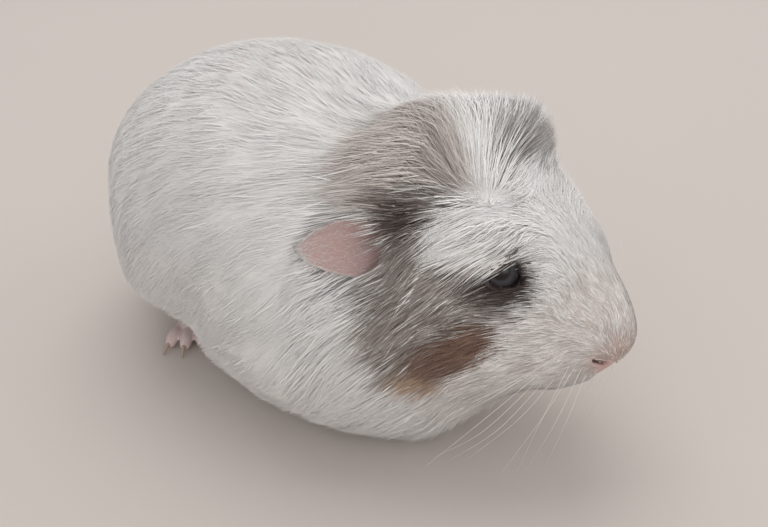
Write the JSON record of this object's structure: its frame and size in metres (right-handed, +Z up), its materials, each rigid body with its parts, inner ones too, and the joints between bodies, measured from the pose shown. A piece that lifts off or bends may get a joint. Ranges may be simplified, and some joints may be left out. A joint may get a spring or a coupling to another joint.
{
  "type": "guinea pig",
  "caption": "Crested guinea pig lying at rest, life size, white medium-long coat with grey and tan patches, head turned a little to its left.",
  "frame": {"origin": "on the floor under the middle of the whole animal", "axes": "+X towards the nose, +Y to the animal's left, +Z up"},
  "size_m": [0.2054, 0.111, 0.099],
  "materials": {
    "coat": "soft white fur with grey-brown and tan patches",
    "ear_skin": "thin pink skin with fine white hair",
    "foot_skin": "bare pink skin with pale claws",
    "eye": "wet, dark"
  },
  "bodies": {
    "root": {"rump": "coat", "trunk": "coat", "neck": "coat", "head": "coat", "muzzle": "coat", "eye_left": "eye", "eye_right": "eye", "ear_left": "ear_skin", "ear_right": "ear_skin", "hindfoot_left": "foot_skin", "hindfoot_right": "foot_skin", "forefoot_left": "foot_skin", "forefoot_right": "foot_skin", "hindleg_left": "coat", "hindleg_right": "coat", "foreleg_left": "coat", "foreleg_right": "coat"}
  },
  "joints": []
}
